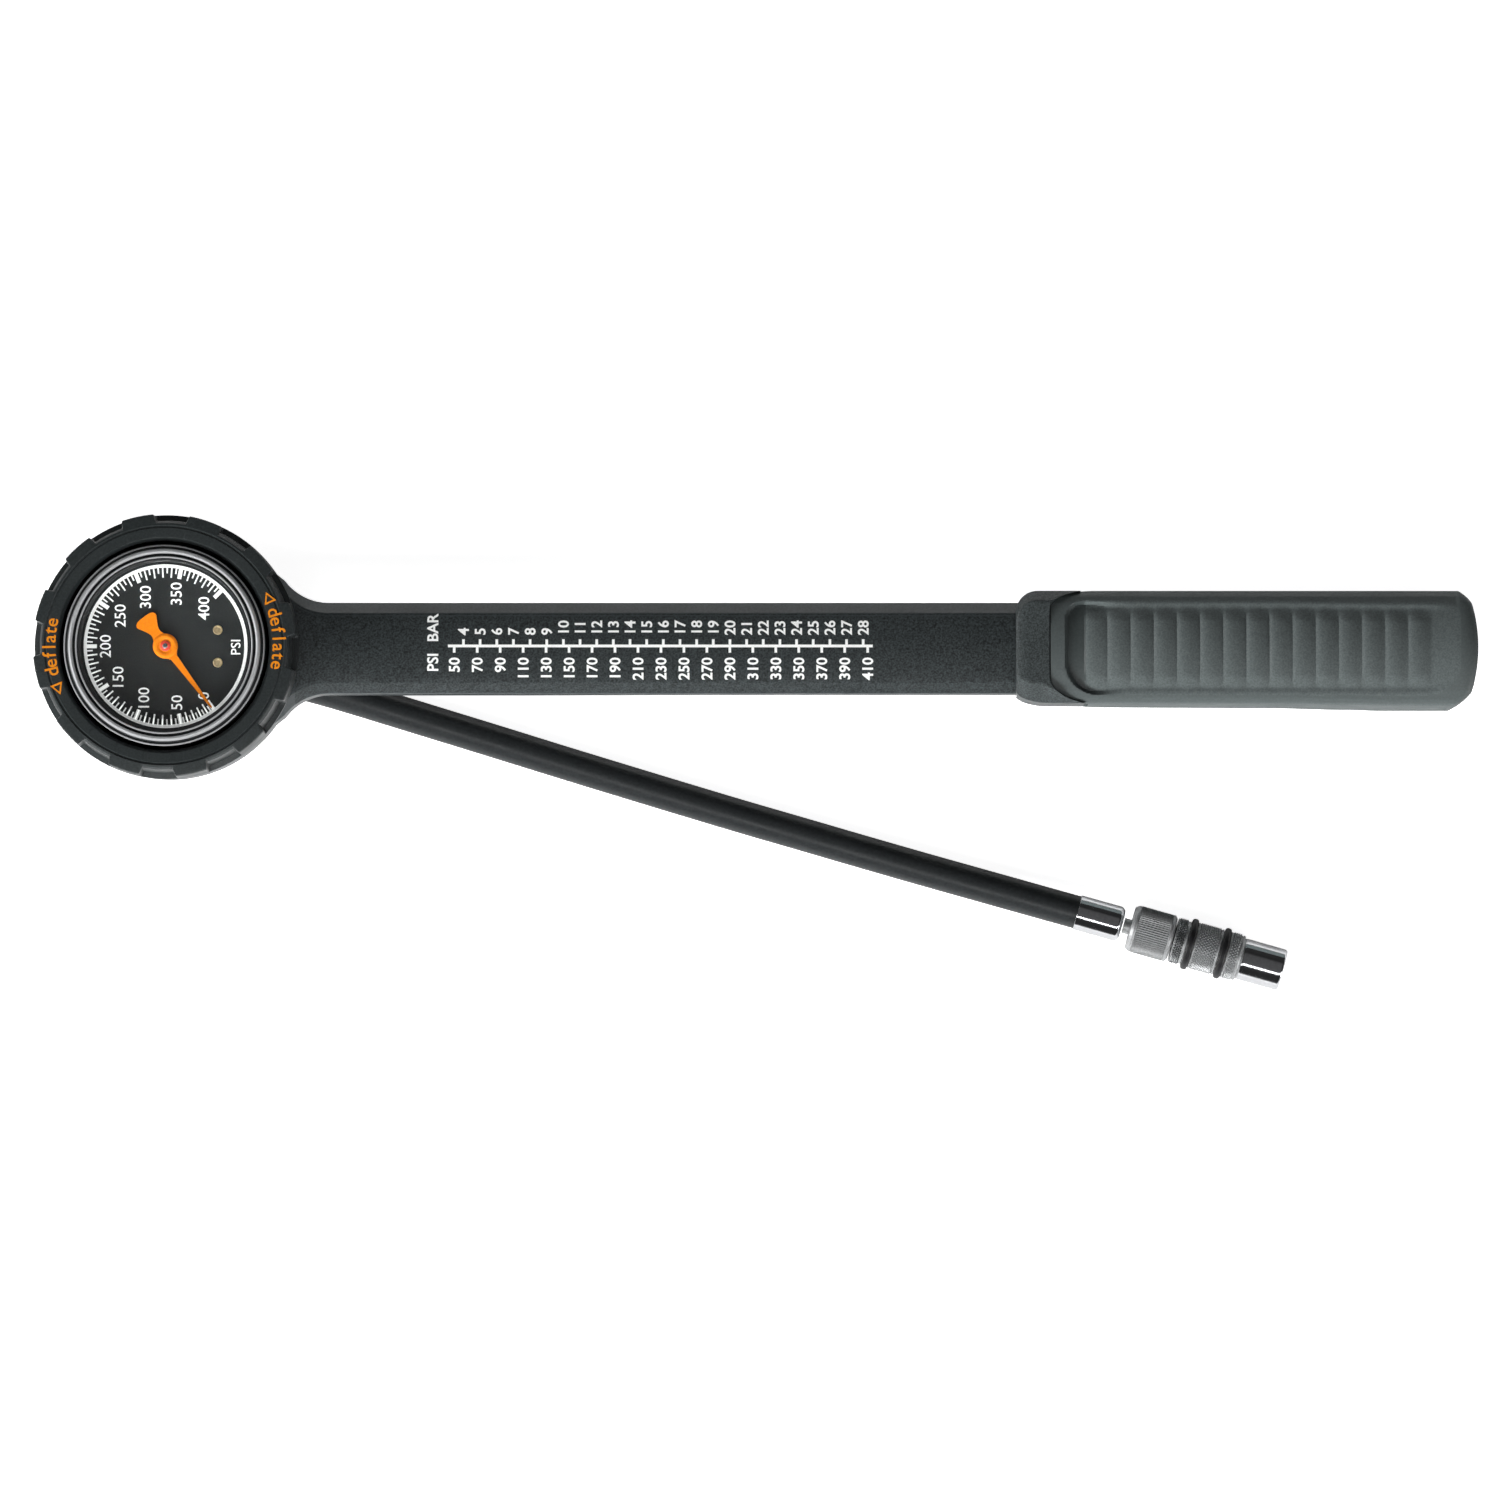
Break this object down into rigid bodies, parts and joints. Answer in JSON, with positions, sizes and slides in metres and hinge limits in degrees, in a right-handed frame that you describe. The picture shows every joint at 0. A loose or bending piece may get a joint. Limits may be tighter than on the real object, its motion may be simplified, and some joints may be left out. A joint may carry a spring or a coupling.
{
  "type": "shock suspension pump",
  "caption": "High-pressure hand pump with a gauge head, a turning deflate ring, a sleeve handle over a long barrel and a swivelling hose with a screw-on valve connector.",
  "frame": {"origin": "on the gauge axis at the foot of the hose swivel, at the level that the pump lies on", "axes": "+X along the barrel from the gauge to the handle, +Z out of the dial, +Y to the left of the barrel"},
  "size_m": [0.3405, 0.1117, 0.041],
  "materials": {
    "body_plastic": "grained",
    "ring_plastic": "satin",
    "grip_rubber": "soft matte",
    "collar_plastic": "fine grained",
    "dial_black": "satin",
    "pointer_orange": "satin",
    "lens_clear": "polished",
    "bright_chrome": "polished",
    "knurled_steel": "knurled",
    "hose_rubber": "satin",
    "seal_rubber": "satin",
    "brass": "machined",
    "aluminium": "machined",
    "spring_steel": "plain"
  },
  "bodies": {
    "root": {"pump_housing": "body_plastic", "cylinder_tube": "aluminium", "cylinder_head": "aluminium", "rod_guide": "brass", "rod_seal": "seal_rubber", "manifold": "aluminium", "check_valve_seat": "brass", "check_valve_spring": "spring_steel", "gauge_case": "ring_plastic", "back_screw_1": "spring_steel", "back_screw_2": "spring_steel", "back_screw_3": "spring_steel", "gauge_socket": "brass", "bourdon_tube": "brass", "movement_back_plate": "brass", "movement_front_plate": "brass", "movement_pillar_1": "brass", "movement_pillar_2": "brass", "hairspring": "spring_steel", "dial_plate": "dial_black", "dial_rivet_1": "brass", "dial_rivet_2": "brass", "bezel_liner": "ring_plastic", "lens_gasket": "seal_rubber", "gauge_lens": "lens_clear", "bleed_spring": "spring_steel"},
    "check_ball": {"check_valve_ball": "spring_steel"},
    "bleed_valve": {"bleed_plunger": "brass", "bleed_seal": "seal_rubber"},
    "sector": {"sector_gear": "brass"},
    "pointer_set": {"pointer": "pointer_orange", "pointer_arbor": "spring_steel"},
    "link": {"movement_link": "spring_steel"},
    "ring": {"deflate_ring": "ring_plastic"},
    "handle": {"handle_core": "collar_plastic", "handle_grip": "grip_rubber", "piston_rod": "bright_chrome", "handle_end_screw": "spring_steel", "piston": "aluminium", "piston_seal": "seal_rubber", "handle_bumper": "seal_rubber"},
    "hose_swivel": {"swivel_turret": "bright_chrome", "swivel_clip": "spring_steel", "swivel_seal": "seal_rubber", "hose_rear_ferrule": "bright_chrome", "hose": "hose_rubber", "hose_front_ferrule": "bright_chrome", "connector_stem": "knurled_steel"},
    "knob": {"connector_knob": "knurled_steel"},
    "connector": {"connector_sleeve": "knurled_steel", "connector_ring_1": "seal_rubber", "connector_ring_2": "seal_rubber", "valve_seal": "seal_rubber"},
    "depressor": {"depressor_pin": "brass"}
  },
  "joints": [
    {"name": "handle_slide", "type": "slide", "parent": "root", "child": "handle", "axis": [1, 0, 0], "range_m": [0, 0.2]},
    {"name": "hose_swivel_turn", "type": "hinge", "parent": "root", "child": "hose_swivel", "pos_m": [0, 0, 0.0047], "axis": [0, 0, 1], "range_deg": [-335, 8]},
    {"name": "ring_turn", "type": "hinge", "parent": "root", "child": "ring", "pos_m": [0, 0, 0.0345], "axis": [0, 0, 1], "range_deg": [0, 50]},
    {"name": "bleed_press", "type": "slide", "parent": "root", "child": "bleed_valve", "axis": [0, 0, -1], "range_m": [0, 0.0016], "deforming": ["bleed_spring"]},
    {"name": "check_lift", "type": "slide", "parent": "root", "child": "check_ball", "axis": [-1, 0, 0], "range_m": [0, 0.0005], "stiffness_N_per_m": 100, "springref_m": -0.001},
    {"name": "sector_turn", "type": "hinge", "parent": "root", "child": "sector", "pos_m": [0, 0.0132, 0.0255], "axis": [0, 0, 1], "range_deg": [0, 27], "stiffness_Nm_per_rad": 0.002},
    {"name": "pointer_turn", "type": "hinge", "parent": "root", "child": "pointer_set", "pos_m": [0, 0, 0.0349], "axis": [0, 0, 1], "range_deg": [-270, 0]},
    {"name": "link_turn", "type": "hinge", "parent": "sector", "child": "link", "pos_m": [0.0052, 0.0132, 0.0267], "axis": [0, 0, 1], "range_deg": [-27, 0]},
    {"name": "knob_turn", "type": "hinge", "parent": "hose_swivel", "child": "knob", "pos_m": [0.2169, -0.0625, 0.00635], "axis": [0.9622, -0.2723, 0], "range_deg": [0, 270]},
    {"name": "depressor_push", "type": "slide", "parent": "hose_swivel", "child": "depressor", "axis": [0.9622, -0.2723, 0], "range_m": [0, 0.0012]},
    {"name": "connector_spin", "type": "hinge", "parent": "hose_swivel", "child": "connector", "pos_m": [0.2169, -0.0625, 0.00635], "axis": [0.9622, -0.2723, 0], "continuous": true}
  ],
  "couplings": [
    {"joint": "bleed_press", "follows": "ring_turn", "m_per_rad": 0.0018335},
    {"joint": "pointer_turn", "follows": "sector_turn", "ratio": -10},
    {"joint": "link_turn", "follows": "sector_turn", "ratio": -1},
    {"joint": "depressor_push", "follows": "knob_turn", "m_per_rad": 0.00025464}
  ]
}
